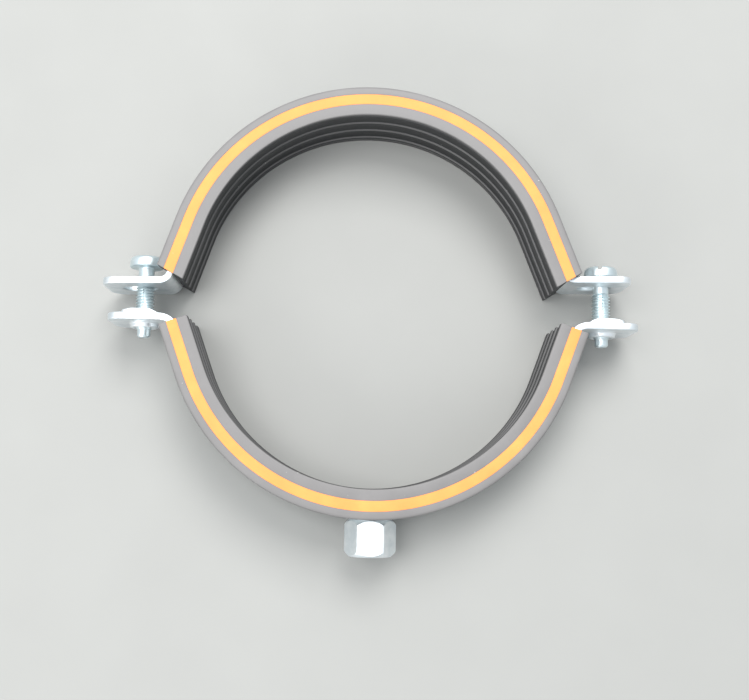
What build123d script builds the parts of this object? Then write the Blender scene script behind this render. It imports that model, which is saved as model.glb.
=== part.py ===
from build123d import *
import math
import os

os.makedirs("parts", exist_ok=True)

# Rubber-lined two-screw pipe clamp for a 113 mm pipe, lying flat. All sizes in mm.
# Origin: centre of the lower half's bore, mid-width. X across the ears, Y towards the
# upper half, Z along the pipe. The lower half is square to the axes. The upper half sits
# loose above it: shifted, and tilted about Z by its play on the two screws.

# Steel band, bent from the same strip in both halves
BAND_T = 2.2
BAND_W = 20.0
LOWER_MID_R = 61.6      # centre line of the lower half's steel
UPPER_MID_R = 60.75     # the loose upper half has sprung in a little
ARC_HALF = 70.0         # the round part spans this many degrees each side of its middle
LOWER_EAR_H = 3.7       # ear centre plane, measured from the half's own centre
UPPER_EAR_H = 2.0
LOWER_BEND_R = 5.5      # centre-line radius between the straight part and the ear
UPPER_BEND_R = 3.2
EAR_END = 84.9          # outer end of each ear from the middle of its half
EAR_CORNER_R = 4.5

# Rubber liner, a C section round the band's edges. Depths are measured outwards
# from the steel's centre line, inwards where negative.
BORE_DEPTH = -5.1       # crests of the ribs, where the pipe bears
LIP_DEPTH = 4.3
LINER_W = 25.0
LIP_GAP = 15.4          # width of bare steel left between the two outer lips
GROOVE_D = 0.6
RIB_AT = 3.4            # middle of each inner rib from mid-width
RIB_W = 1.6
RIM_IN = 9.4            # inner edge of each outermost crest from mid-width
STRIPE_IN = -1.6
STRIPE_OUT = 1.7
STRIPE_D = 0.8
# Straight run of the liner beyond the round part. The upper one sits about 3 mm round
# its band, so its right end is the longer, and its cuts lean.
LOWER_RUN = 16.85
UPPER_RUN_LEFT = 17.5
UPPER_RUN_RIGHT = 20.4
UPPER_CUT_LEAN = 0.17   # shorter by this much for each mm further outwards

# Closing screws, M6
SCREW_X = 74.5
SHANK_R = 3.0
NECK_R = 2.5
NECK_L = 5.2
HEAD_R = 5.4
HEAD_H = 3.6
HEAD_ROUND = 1.1
HEAD_SEAT_Y = 13.5      # underside of the head above the lower half's centre plane
SCREW_L = 22.8
DOG_R = 2.1
DOG_L = 2.8
DOG_CHAMFER = 0.5
DRIVE_SLOT_W = 1.5
DRIVE_SLOT_D = 1.5
CROSS_L = 6.0
CROSS_W = 1.2
CROSS_D = 2.2

# Thread plates on the lower ears
PLATE_T = 1.85
PLATE_W = 15.0
PLATE_OUT_X = 80.5
PLATE_OUT_T = 1.1
PLATE_FULL_X = 78.2
PLATE_RAMP_X = 71.5
PLATE_IN_X = 68.6
PLATE_TOE_T = 0.7
COLLAR_R = 4.45
COLLAR_DROP = 1.5
THREAD_CLEAR = 0.05     # radial running clearance of the screw in its collar

# Slots in the upper ears
SLOT_X = 74.1
SLOT_L = 11.0
SLOT_W = 7.0

# Hanger nut: a hexagon bevelled at both ends, on a round neck that stands on the band
NUT_AF = 14.4
NUT_END_Y = -77.6
NUT_TOP_Y = -65.9
NUT_CORNER_R = 8.35
NUT_FACE_R = 6.6
NUT_BEVEL = 2.6
NUT_NECK_R = 6.6
NUT_BORE_R = 4.25
NUT_BORE_D = 12.0
NUT_MOUTH_CHAMFER = 0.8

# Loose position of the upper half
UPPER_X = -2.0
UPPER_Y = 7.52
UPPER_TILT = 1.35

tilt = math.radians(UPPER_TILT)
# In each half's own plane the band arches towards +y, away from the joint between the halves
UPPER = Plane(
    origin=(UPPER_X, UPPER_Y, 0),
    x_dir=(math.cos(tilt), math.sin(tilt), 0),
    z_dir=(0, 0, 1),
)
LOWER = Plane(origin=(0, 0, 0), x_dir=(-1, 0, 0), z_dir=(0, 0, 1))

slope = math.radians(90 - ARC_HALF)
HALF_T = BAND_T / 2


def bend_run(bend_r):
    """Length that a bend of this radius takes from each of the two lines it joins."""
    return bend_r * math.tan(math.radians(ARC_HALF) / 2)


def band_straight(mid_r, ear_h, bend_r):
    """Straight run of the steel from the end of its round part to the start of its bend."""
    return (mid_r * math.sin(slope) - ear_h) / math.cos(slope) - bend_run(bend_r)


def side_points(radius, straight):
    """Right-hand end of the arc of this radius, and the end of its straight run."""
    start = Vector(radius * math.cos(slope), radius * math.sin(slope))
    end = start + Vector(math.sin(slope), -math.cos(slope)) * straight
    return start, end


def arch(plane, mid_r, depths, runs, widths, lean=0.0, mode=Mode.ADD):
    """A strip between two depths from a half's centre line, with straight runs on the left
    and right, between two positions across the width. Its cuts may lean."""
    inner_r = mid_r + depths[0]
    outer_r = mid_r + depths[1]
    inner_more = -lean * depths[0]
    outer_more = -lean * depths[1]
    right_in0, right_in1 = side_points(inner_r, runs[1] + inner_more)
    right_out0, right_out1 = side_points(outer_r, runs[1] + outer_more)
    left_in1 = side_points(inner_r, runs[0] + inner_more)[1]
    left_out1 = side_points(outer_r, runs[0] + outer_more)[1]
    with BuildSketch(plane.offset(widths[0])) as profile:
        with BuildLine():
            Polyline(
                (right_in0.X, right_in0.Y),
                (right_in1.X, right_in1.Y),
                (right_out1.X, right_out1.Y),
                (right_out0.X, right_out0.Y),
            )
            ThreePointArc(
                (right_out0.X, right_out0.Y), (0, outer_r), (-right_out0.X, right_out0.Y)
            )
            Polyline(
                (-right_out0.X, right_out0.Y),
                (-left_out1.X, left_out1.Y),
                (-left_in1.X, left_in1.Y),
                (-right_in0.X, right_in0.Y),
            )
            ThreePointArc((-right_in0.X, right_in0.Y), (0, inner_r), (right_in0.X, right_in0.Y))
        make_face()
    extrude(profile.sketch, amount=widths[1] - widths[0], mode=mode)


def ear(plane, side, mid_r, ear_h, bend_r):
    """Bend and flat ear on one side of a half, joined to the straight part of the band."""
    end = side_points(mid_r, band_straight(mid_r, ear_h, bend_r))[1]
    corner_x = mid_r * math.cos(slope) + math.tan(slope) * (mid_r * math.sin(slope) - ear_h)
    flat_x = corner_x + bend_run(bend_r)
    centre = Vector(flat_x, ear_h + bend_r)
    across = Vector(math.cos(slope), math.sin(slope))
    turned_in = end - across * HALF_T
    turned_out = end + across * HALF_T
    half_turn = math.radians(180 + 90 - ARC_HALF / 2)
    toward = Vector(math.cos(half_turn), math.sin(half_turn))
    mid_far = centre + toward * (bend_r + HALF_T)
    mid_near = centre + toward * (bend_r - HALF_T)
    with BuildSketch(plane.offset(-BAND_W / 2)) as profile:
        with BuildLine():
            Line((side * turned_in.X, turned_in.Y), (side * turned_out.X, turned_out.Y))
            ThreePointArc(
                (side * turned_out.X, turned_out.Y),
                (side * mid_near.X, mid_near.Y),
                (side * flat_x, ear_h + HALF_T),
            )
            Polyline(
                (side * flat_x, ear_h + HALF_T),
                (side * EAR_END, ear_h + HALF_T),
                (side * EAR_END, ear_h - HALF_T),
                (side * flat_x, ear_h - HALF_T),
            )
            ThreePointArc(
                (side * flat_x, ear_h - HALF_T),
                (side * mid_far.X, mid_far.Y),
                (side * turned_in.X, turned_in.Y),
            )
        make_face()
    extrude(profile.sketch, amount=BAND_W)


def band(plane, mid_r, ear_h, bend_r):
    """One steel half: arch, two ears, and rounded ear corners."""
    run = band_straight(mid_r, ear_h, bend_r)
    arch(plane, mid_r, (-HALF_T, HALF_T), (run, run), (-BAND_W / 2, BAND_W / 2))
    ear(plane, 1, mid_r, ear_h, bend_r)
    ear(plane, -1, mid_r, ear_h, bend_r)
    ear_plane = Plane(origin=plane.origin, x_dir=plane.x_dir, z_dir=plane.y_dir)
    with BuildSketch(ear_plane) as outline:
        RectangleRounded(2 * EAR_END, BAND_W, EAR_CORNER_R)
    extrude(outline.sketch, amount=mid_r + BAND_T, mode=Mode.INTERSECT)


def liner(plane, mid_r, runs, lean, steel):
    """One rubber half: C section with ribs, hollowed for its steel and its stripe."""
    half_w = LINER_W / 2
    far_runs = (runs[0] + BAND_W, runs[1] + BAND_W)
    arch(plane, mid_r, (BORE_DEPTH, LIP_DEPTH), runs, (-half_w, half_w), lean)
    gap = (-LIP_GAP / 2, LIP_GAP / 2)
    arch(plane, mid_r, (0, LIP_DEPTH + 1), far_runs, gap, mode=Mode.SUBTRACT)
    rib_low = RIB_AT - RIB_W / 2
    rib_high = RIB_AT + RIB_W / 2
    groove = (BORE_DEPTH - 1, BORE_DEPTH + GROOVE_D)
    for low, high in ((-RIM_IN, -rib_high), (-rib_low, rib_low), (rib_high, RIM_IN)):
        arch(plane, mid_r, groove, far_runs, (low, high), mode=Mode.SUBTRACT)
    sunk = (half_w - STRIPE_D, half_w)
    arch(plane, mid_r, (STRIPE_IN, STRIPE_OUT), far_runs, sunk, mode=Mode.SUBTRACT)
    add(steel, mode=Mode.SUBTRACT)


def screw(x, name):
    """M6 cheese-head screw with a thin neck, a slot and cross drive and a dog point; it
    points to -Y."""
    seat = Plane(origin=(x, HEAD_SEAT_Y, 0), x_dir=(1, 0, 0), z_dir=(0, 1, 0))
    with BuildPart() as one:
        with BuildSketch(seat):
            Circle(HEAD_R)
        extrude(amount=HEAD_H)
        rim = one.edges().group_by(Axis.Y)[-1]
        fillet(rim, HEAD_ROUND)
        with BuildSketch(seat.offset(HEAD_H - DRIVE_SLOT_D)):
            Rectangle(2 * HEAD_R + 1, DRIVE_SLOT_W)
        extrude(amount=DRIVE_SLOT_D + 1, mode=Mode.SUBTRACT)
        with BuildSketch(seat.offset(HEAD_H - CROSS_D)):
            Rectangle(CROSS_L, CROSS_W)
            Rectangle(CROSS_W, CROSS_L)
        extrude(amount=CROSS_D + 1, mode=Mode.SUBTRACT)
        with BuildSketch(seat):
            Circle(NECK_R)
        extrude(amount=-NECK_L)
        with BuildSketch(seat.offset(-NECK_L)):
            Circle(SHANK_R)
        extrude(amount=-(SCREW_L - NECK_L - DOG_L))
        with BuildSketch(seat.offset(-(SCREW_L - DOG_L))):
            Circle(DOG_R)
        extrude(amount=-DOG_L)
        tip = one.edges().group_by(Axis.Y)[0]
        chamfer(tip, DOG_CHAMFER)
    one.part.label = name
    export_step(one.part, "parts/" + name + ".step")


def thread_plate(side, name):
    """Raised plate on a lower ear, with a threaded collar pushed down through the ear."""
    top_y = -LOWER_EAR_H + HALF_T
    collar_bottom = -LOWER_EAR_H - HALF_T - COLLAR_DROP
    through = Plane(origin=(side * SCREW_X, collar_bottom, 0), x_dir=(1, 0, 0), z_dir=(0, 1, 0))
    with BuildPart() as one:
        with BuildSketch(Plane.XY.offset(-PLATE_W / 2)):
            with BuildLine():
                Polyline(
                    (side * PLATE_OUT_X, top_y),
                    (side * PLATE_OUT_X, top_y + PLATE_OUT_T),
                    (side * PLATE_FULL_X, top_y + PLATE_T),
                    (side * PLATE_RAMP_X, top_y + PLATE_T),
                    (side * PLATE_IN_X, top_y + PLATE_TOE_T),
                    (side * PLATE_IN_X, top_y),
                    close=True,
                )
            make_face()
        extrude(amount=PLATE_W)
        with BuildSketch(through):
            Circle(COLLAR_R)
        extrude(amount=top_y - collar_bottom)
        with BuildSketch(through.offset(-1)):
            Circle(SHANK_R + THREAD_CLEAR)
        extrude(amount=PLATE_T + top_y - collar_bottom + 2, mode=Mode.SUBTRACT)
    one.part.label = name
    export_step(one.part, "parts/" + name + ".step")


def stripe(plane, mid_r, runs, lean, name):
    """One coloured strip set flush into the front face of a liner."""
    sunk = (LINER_W / 2 - STRIPE_D, LINER_W / 2)
    with BuildPart() as one:
        arch(plane, mid_r, (STRIPE_IN, STRIPE_OUT), runs, sunk, lean)
    one.part.label = name
    export_step(one.part, "parts/" + name + ".step")


# Upper half
UPPER_RUNS = (UPPER_RUN_LEFT, UPPER_RUN_RIGHT)
ear_face = Plane(origin=UPPER.origin, x_dir=UPPER.x_dir, z_dir=UPPER.y_dir)
with BuildPart() as upper_band:
    band(UPPER, UPPER_MID_R, UPPER_EAR_H, UPPER_BEND_R)
    with BuildSketch(ear_face):
        with Locations((SLOT_X, 0), (-SLOT_X, 0)):
            SlotOverall(SLOT_L, SLOT_W)
    extrude(amount=UPPER_EAR_H + BAND_T, mode=Mode.SUBTRACT)
upper_band.part.label = "upper_band"
export_step(upper_band.part, "parts/upper_band.step")

with BuildPart() as upper_liner:
    liner(UPPER, UPPER_MID_R, UPPER_RUNS, UPPER_CUT_LEAN, upper_band.part)
upper_liner.part.label = "upper_liner"
export_step(upper_liner.part, "parts/upper_liner.step")

# Lower half
LOWER_RUNS = (LOWER_RUN, LOWER_RUN)
with BuildPart() as lower_band:
    band(LOWER, LOWER_MID_R, LOWER_EAR_H, LOWER_BEND_R)
    with BuildSketch(Plane(origin=(0, 0, 0), x_dir=(1, 0, 0), z_dir=(0, -1, 0))):
        with Locations((SCREW_X, 0), (-SCREW_X, 0)):
            Circle(COLLAR_R)
    extrude(amount=LOWER_EAR_H + BAND_T, mode=Mode.SUBTRACT)
lower_band.part.label = "lower_band"
export_step(lower_band.part, "parts/lower_band.step")

with BuildPart() as lower_liner:
    liner(LOWER, LOWER_MID_R, LOWER_RUNS, 0.0, lower_band.part)
lower_liner.part.label = "lower_liner"
export_step(lower_liner.part, "parts/lower_liner.step")

# Coloured stripes in the front faces
stripe(UPPER, UPPER_MID_R, UPPER_RUNS, UPPER_CUT_LEAN, "upper_stripe")
stripe(LOWER, LOWER_MID_R, LOWER_RUNS, 0.0, "lower_stripe")

# Fasteners
thread_plate(-1, "left_thread_plate")
thread_plate(1, "right_thread_plate")
screw(-SCREW_X, "left_screw")
screw(SCREW_X, "right_screw")

# Hanger nut; its round neck is hollowed to stand on the outside of the band
nut_mouth = Plane(origin=(0, NUT_END_Y, 0), x_dir=(1, 0, 0), z_dir=(0, 1, 0))
nut_top = Plane(origin=(0, NUT_TOP_Y, 0), x_dir=(1, 0, 0), z_dir=(0, 1, 0))
with BuildPart() as hanger_nut:
    with BuildSketch(nut_mouth):
        RegularPolygon(NUT_AF / 2, 6, major_radius=False, rotation=0)
    extrude(amount=NUT_TOP_Y - NUT_END_Y)
    with BuildSketch():
        with BuildLine():
            Polyline(
                (0, NUT_END_Y),
                (NUT_FACE_R, NUT_END_Y),
                (NUT_CORNER_R, NUT_END_Y + NUT_BEVEL),
                (NUT_CORNER_R, NUT_TOP_Y - NUT_BEVEL),
                (NUT_FACE_R, NUT_TOP_Y),
                (0, NUT_TOP_Y),
                close=True,
            )
        make_face()
    revolve(axis=Axis.Y, mode=Mode.INTERSECT)
    with BuildSketch(nut_top):
        Circle(NUT_NECK_R)
    extrude(amount=-NUT_TOP_Y - LOWER_MID_R)
    with BuildSketch(Plane.XY.offset(-LINER_W / 2)):
        Circle(LOWER_MID_R + HALF_T)
    extrude(amount=LINER_W, mode=Mode.SUBTRACT)
    with BuildSketch(nut_mouth):
        Circle(NUT_BORE_R)
    extrude(amount=NUT_BORE_D, mode=Mode.SUBTRACT)
    with BuildSketch(nut_mouth):
        Circle(NUT_BORE_R + NUT_MOUTH_CHAMFER)
    extrude(amount=NUT_MOUTH_CHAMFER, taper=45, mode=Mode.SUBTRACT)
hanger_nut.part.label = "hanger_nut"
export_step(hanger_nut.part, "parts/hanger_nut.step")
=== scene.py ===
"""Rubber-lined two-screw pipe clamp: the visible pieces, their finishes and the stage.

Each piece is a surface worked out with numpy in metres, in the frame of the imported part:
X across the ears, Y towards the upper half, Z along the pipe, origin at the lower bore.
"""

import bmesh
import bpy
import numpy as np
from bpy.props import FloatProperty, FloatVectorProperty, PointerProperty
from bpy.types import Operator, Panel, PropertyGroup
from mathutils import Matrix, Vector


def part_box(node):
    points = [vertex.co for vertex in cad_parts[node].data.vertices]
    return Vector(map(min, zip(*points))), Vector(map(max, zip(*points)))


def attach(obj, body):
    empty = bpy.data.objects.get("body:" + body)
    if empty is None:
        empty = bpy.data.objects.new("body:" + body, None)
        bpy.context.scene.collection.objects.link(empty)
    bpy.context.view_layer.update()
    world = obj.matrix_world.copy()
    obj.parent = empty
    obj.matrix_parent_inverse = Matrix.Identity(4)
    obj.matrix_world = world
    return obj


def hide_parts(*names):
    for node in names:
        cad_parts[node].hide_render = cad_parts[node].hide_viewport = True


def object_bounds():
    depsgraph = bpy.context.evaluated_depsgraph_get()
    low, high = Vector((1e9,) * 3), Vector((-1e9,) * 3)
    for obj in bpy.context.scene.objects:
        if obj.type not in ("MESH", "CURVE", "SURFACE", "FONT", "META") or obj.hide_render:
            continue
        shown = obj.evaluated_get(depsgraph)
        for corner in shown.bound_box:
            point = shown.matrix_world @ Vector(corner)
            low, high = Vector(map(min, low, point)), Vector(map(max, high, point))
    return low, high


bl_info = {
    "name": "Lined Pipe Clamp",
    "version": (1, 0, 0),
    "blender": (4, 5, 0),
    "location": "View3D > Sidebar > Pipe Clamp",
    "description": "Builds a rubber-lined two-screw pipe clamp round its fixed frame",
    "category": "Object",
}

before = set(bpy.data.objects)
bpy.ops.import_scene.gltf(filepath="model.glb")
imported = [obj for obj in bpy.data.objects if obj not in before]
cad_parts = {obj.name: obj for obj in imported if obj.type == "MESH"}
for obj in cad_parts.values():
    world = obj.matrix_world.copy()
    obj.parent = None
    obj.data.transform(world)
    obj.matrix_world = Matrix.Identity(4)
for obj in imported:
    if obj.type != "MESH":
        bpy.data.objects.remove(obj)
cad_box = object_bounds()

MM = 0.001
TURN = 2 * np.pi
PLATE_LOW, PLATE_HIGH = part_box("right_thread_plate")
NUT_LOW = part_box("hanger_nut")[0]
SCREW_LOW, SCREW_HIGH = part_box("right_screw")


# ---------------------------------------------------------------- settings


def length(name, description, value):
    """A length in metres, given in millimetres."""
    return FloatProperty(
        name=name, description=description, default=value * MM, unit="LENGTH", precision=5
    )


def linear(code):
    """An sRGB hex colour as linear RGB: (c + 0.055) / 1.055 to the power 2.4 above the toe."""
    code = code.lstrip("#")
    srgb = np.array([int(code[i : i + 2], 16) for i in (0, 2, 4)]) / 255
    low = srgb / 12.92
    high = ((srgb + 0.055) / 1.055) ** 2.4
    return tuple(np.where(srgb <= 0.04045, low, high))


def colour(name, description, code):
    """A colour setting, given as an sRGB hex code."""
    return FloatVectorProperty(
        name=name,
        description=description,
        default=linear(code),
        subtype="COLOR",
        size=3,
        min=0,
        max=1,
    )


class ClampBandSettings(PropertyGroup):
    lower_radius: length("Lower radius", "Radius of the lower steel's centre line", 61.6)
    upper_radius: length("Upper radius", "Radius of the upper steel's centre line", 60.75)
    thickness: length("Thickness", "Thickness of the steel strip", 2.2)
    width: length("Width", "Width of the steel strip", 20.0)
    lower_ear: length("Lower ear height", "Lower ear's centre plane from its half's centre", 3.7)
    upper_ear: length("Upper ear height", "Upper ear's centre plane from its half's centre", 2.0)
    lower_bend: length("Lower bend radius", "Centre-line radius of the bend into a lower ear", 5.5)
    upper_bend: length("Upper bend radius", "Centre-line radius of the bend into an upper ear", 3.2)
    ear_end: length("Ear end", "Outer end of an ear from the middle", 84.9)
    ear_corner: length("Ear corner", "Rounding of an ear's outer corners", 4.5)
    edge: length("Edge rounding", "Rounding left on the strip's rolled edges", 0.3)
    slot_length: length("Slot length", "End to end length of an upper ear's slot", 11.0)
    slot_width: length("Slot width", "Width of an upper ear's slot", 7.0)
    slot_at: length("Slot position", "Middle of a slot from the middle of the half", 74.1)


class ClampLinerSettings(PropertyGroup):
    bore: length("Bore depth", "Ribs' crests inside the steel's centre line", 5.1)
    lip: length("Lip height", "Lips' outer faces outside the steel's centre line", 4.3)
    width: length("Width", "Width of the liner along the pipe", 25.0)
    lip_gap: length("Gap between lips", "Bare steel between the outer lips", 15.4)
    groove: length("Groove depth", "Depth of the grooves between the ribs", 0.6)
    lower_run: length("Lower run", "Lower liner's straight run past its round part", 16.85)
    left_run: length("Upper left run", "Upper liner's straight run on the left", 17.5)
    right_run: length("Upper right run", "Upper liner's straight run on the right", 20.4)
    lean: FloatProperty(
        name="Cut lean", description="How much the upper liner's cuts lean", default=0.17
    )
    stripe_inner: length("Stripe inner edge", "Stripe's inner edge inside the centre line", 1.6)
    stripe_outer: length("Stripe outer edge", "Stripe's outer edge outside the centre line", 1.7)
    stripe_depth: length("Stripe depth", "Depth of the coloured stripe", 0.8)
    rubber: colour("Rubber", "Colour of the rubber's ribbed inside", "#252627")
    # Pale tone of the side faces, partly blooming and partly painted sheen, and painted highlight
    # on the ribs' front-facing walls
    bloom_and_highlight: colour("Bloom", "Colour of the bloomed rubber on the side faces", "#716F6E")
    stripe: colour("Stripe", "Colour of the stripes", "#ED9250")


class ClampScrewSettings(PropertyGroup):
    thread_radius: length("Thread radius", "Outside radius of the M6 thread", 2.98)
    pitch: length("Pitch", "Thread pitch", 1.0)
    neck_radius: length("Neck radius", "Radius of the plain neck under the head", 2.5)
    neck_length: length("Neck length", "Length of the plain neck", 5.2)
    head_radius: length("Head radius", "Radius of the cheese head", 5.4)
    head_height: length("Head height", "Height of the cheese head", 3.6)
    dog_radius: length("Point radius", "Radius of the dog point", 2.1)
    dog_length: length("Point length", "Length of the dog point", 2.8)


class ClampNutSettings(PropertyGroup):
    flats: length("Across flats", "Width of the hanger nut across its flats", 14.4)
    top: length("Hexagon top", "Upper end of the hexagon, below the bore's centre", 65.9)
    neck: length("Neck radius", "Radius of the round neck that stands on the band", 6.6)
    bevel: length("Bevel", "Length of the bevel on the hexagon's corners", 2.6)
    bore: length("Thread radius", "Minor radius of the hanger thread", 4.25)
    depth: length("Thread depth", "Depth of the hanger thread", 12.0)
    pitch: length("Pitch", "Pitch of the hanger thread", 1.5)
    collar: length("Collar radius", "Outer radius of a thread plate's collar", 4.45)


class ClampFinishSettings(PropertyGroup):
    zinc: colour("Zinc", "Colour of the bright zinc plate", "#EEF2F4")
    zinc_dull: colour("Zinc, duller", "Colour of the duller spots in the plate", "#D8DFE2")
    passivated: colour("Passivated zinc", "Colour of the screws' blue-clear zinc", "#E2EEF1")
    floor: colour("Floor", "Colour of the studio floor", "#989895")


# ---------------------------------------------------------------- mesh helpers


def grid_faces(rows, columns, close_rows=False, close_columns=False):
    """Quads between neighbouring rows and columns of a grid stored row by row."""
    i = np.arange(rows if close_rows else rows - 1)
    j = np.arange(columns if close_columns else columns - 1)
    i, j = (a.ravel() for a in np.meshgrid(i, j, indexing="ij"))
    up, right = (i + 1) % rows, (j + 1) % columns
    return np.stack(
        [i * columns + j, i * columns + right, up * columns + right, up * columns + j], axis=1
    )


def add_piece(name, points, faces, sharp=40, flow=None, extra_faces=()):
    """A mesh piece with its doubles merged and its faces turned outwards."""
    points = np.asarray(points, float).reshape(-1, 3)
    mesh = bpy.data.meshes.new(name)
    mesh.from_pydata(points.tolist(), [], np.asarray(faces).tolist() + list(extra_faces))
    if flow is not None:
        loops = np.empty(len(mesh.loops), np.int32)
        mesh.loops.foreach_get("vertex_index", loops)
        layer = mesh.uv_layers.new(name="flow")
        layer.data.foreach_set("uv", np.asarray(flow, np.float32).reshape(-1, 2)[loops].ravel())
    piece = bpy.data.objects.new(name, mesh)
    bpy.context.scene.collection.objects.link(piece)
    tidy_mesh(mesh)
    shade(mesh, sharp)
    return piece


def tidy_mesh(mesh, gap=2e-6):
    """Merges doubles, drops faces with no area and turns the rest outwards."""
    work = bmesh.new()
    work.from_mesh(mesh)
    bmesh.ops.remove_doubles(work, verts=work.verts, dist=gap)
    bmesh.ops.dissolve_degenerate(work, edges=work.edges, dist=gap)
    bmesh.ops.recalc_face_normals(work, faces=work.faces)
    work.to_mesh(mesh)
    work.free()
    mesh.update()


def shade(mesh, sharp):
    """Smooth faces, with edges sharper than this many degrees left crisp."""
    mesh.polygons.foreach_set("use_smooth", np.ones(len(mesh.polygons), bool))
    mesh.set_sharp_from_angle(angle=np.radians(sharp))


def apply_modifiers(piece, sharp=40):
    """Puts the result of the piece's modifiers into its mesh."""
    bpy.context.view_layer.update()
    graph = bpy.context.evaluated_depsgraph_get()
    result = bpy.data.meshes.new_from_object(piece.evaluated_get(graph))
    old = piece.data
    piece.modifiers.clear()
    piece.data = result
    result.name = old.name
    bpy.data.meshes.remove(old)
    shade(result, sharp)
    return piece


def cut(piece, cutters, sharp=40):
    """Takes the cutters' volumes away from the piece."""
    for cutter in cutters:
        step = piece.modifiers.new("cut", "BOOLEAN")
        step.operation = "DIFFERENCE"
        step.solver = "EXACT"
        step.object = cutter
    apply_modifiers(piece, sharp)
    for cutter in cutters:
        mesh = cutter.data
        bpy.data.objects.remove(cutter)
        bpy.data.meshes.remove(mesh)
    tidy_mesh(piece.data)
    shade(piece.data, sharp)
    return piece


def finish_piece(piece, node, body, material):
    """Gives the piece its finish and hands it to the frame in place of its node."""
    piece.data.materials.clear()
    piece.data.materials.append(material)
    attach(piece, body)
    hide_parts(node)


def smooth(x):
    """0 below 0, 1 above 1, and 3x^2 - 2x^3 between."""
    x = np.clip(x, 0, 1)
    return x * x * (3 - 2 * x)


def rounded(corners, radii, steps=5):
    """A closed outline whose corners are quadratic curves cut back by their radii."""
    corners = np.asarray(corners, float)
    before = np.roll(corners, 1, axis=0) - corners
    after = np.roll(corners, -1, axis=0) - corners
    reach_before = np.linalg.norm(before, axis=1)
    reach_after = np.linalg.norm(after, axis=1)
    back = np.minimum(np.asarray(radii, float), 0.49 * np.minimum(reach_before, reach_after))
    start = corners + before / reach_before[:, None] * back[:, None]
    end = corners + after / reach_after[:, None] * back[:, None]
    t = np.linspace(0, 1, steps)[None, :, None]
    curve = (1 - t) ** 2 * start[:, None] + 2 * t * (1 - t) * corners[:, None] + t**2 * end[:, None]
    return curve.reshape(-1, 2)


# ---------------------------------------------------------------- path of the band

ARC_HALF = np.radians(70)
SLOPE = np.pi / 2 - ARC_HALF
UPPER_AT = np.array([-2.0, 7.52]) * MM
UPPER_TILT = np.radians(1.35)


def half_place(points, upper):
    """From a half's own plane to the frame: the lower half is turned by half a turn, the upper
    one by its small tilt and moved to where it hangs on the screws."""
    angle = UPPER_TILT if upper else np.pi
    shift = UPPER_AT if upper else np.zeros(2)
    c, s = np.cos(angle), np.sin(angle)
    x, y, z = points[..., 0], points[..., 1], points[..., 2]
    return np.stack([c * x - s * y + shift[0], s * x + c * y + shift[1], z], axis=-1)


def half_sizes(upper):
    """Centre-line radius, ear height and bend radius of one half."""
    b = bpy.context.scene.clamp_band
    if upper:
        return b.upper_radius, b.upper_ear, b.upper_bend
    return b.lower_radius, b.lower_ear, b.lower_bend


def arch_path(s, w, radius):
    """Point at distance s along an arch and w outside its centre line: a round middle of 140
    degrees, then straight runs on its tangents. s is measured on the centre line."""
    side = np.sign(s)
    run = np.abs(s)
    arc = radius * ARC_HALF
    turn = np.minimum(run, arc) / radius
    over = np.maximum(run - arc, 0)
    x = (radius + w) * np.sin(turn) + over * np.sin(SLOPE)
    y = (radius + w) * np.cos(turn) - over * np.cos(SLOPE)
    return side * x, y


def band_lengths(upper):
    """Lengths along the centre line to the arch's end, the bend's start, its end and the ear's
    end, and how far out the flat ear starts."""
    radius, ear, bend_radius = half_sizes(upper)
    tangent_y = radius * np.sin(SLOPE)
    corner = (tangent_y - ear) / np.cos(SLOPE)
    back = bend_radius * np.tan(ARC_HALF / 2)
    flat_x = radius * np.cos(SLOPE) + np.tan(SLOPE) * (tangent_y - ear) + back
    arc = radius * ARC_HALF
    bend = arc + corner - back
    flat = bend + bend_radius * ARC_HALF
    return arc, bend, flat, flat + bpy.context.scene.clamp_band.ear_end - flat_x, flat_x


def band_path(s, w, upper):
    """Point at distance s along the band and w outside its centre line: the arch, then a bend
    of the same angle the other way round, then the flat ear."""
    radius, ear, bend_radius = half_sizes(upper)
    _, bend, flat, _, flat_x = band_lengths(upper)
    side = np.where(s < 0, -1.0, 1.0)
    run = np.abs(s)
    x, y = arch_path(np.minimum(run, bend), w, radius)
    turn = np.clip(run - bend, 0, flat - bend) / bend_radius
    angle = np.pi + SLOPE + turn
    bend_x = flat_x + (bend_radius - w) * np.cos(angle)
    bend_y = ear + bend_radius + (bend_radius - w) * np.sin(angle)
    out_x = flat_x + (run - flat)
    out_y = ear + w
    x = np.where(run > flat, out_x, np.where(run > bend, bend_x, x))
    y = np.where(run > flat, out_y, np.where(run > bend, bend_y, y))
    return side * x, y


# ---------------------------------------------------------------- bands


def ray_to_box(angle, half_x, half_y, corner):
    """Distance along each ray from the centre to a box whose corners are rounded."""
    c, s = np.abs(np.cos(angle)), np.abs(np.sin(angle))
    flat = np.minimum(half_x / np.maximum(c, 1e-9), half_y / np.maximum(s, 1e-9))
    cx, cy = half_x - corner, half_y - corner
    along = cx * c + cy * s
    inside = np.maximum(along**2 - (cx**2 + cy**2 - corner**2), 0)
    round_end = along + np.sqrt(inside)
    at_corner = (flat * c > cx) & (flat * s > cy)
    return np.where(at_corner, round_end, flat)


def ray_to_slot(angle, length_all, width):
    """Distance along each ray from the centre to a slot's outline."""
    return ray_to_box(angle, length_all / 2, width / 2, width / 2)


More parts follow.
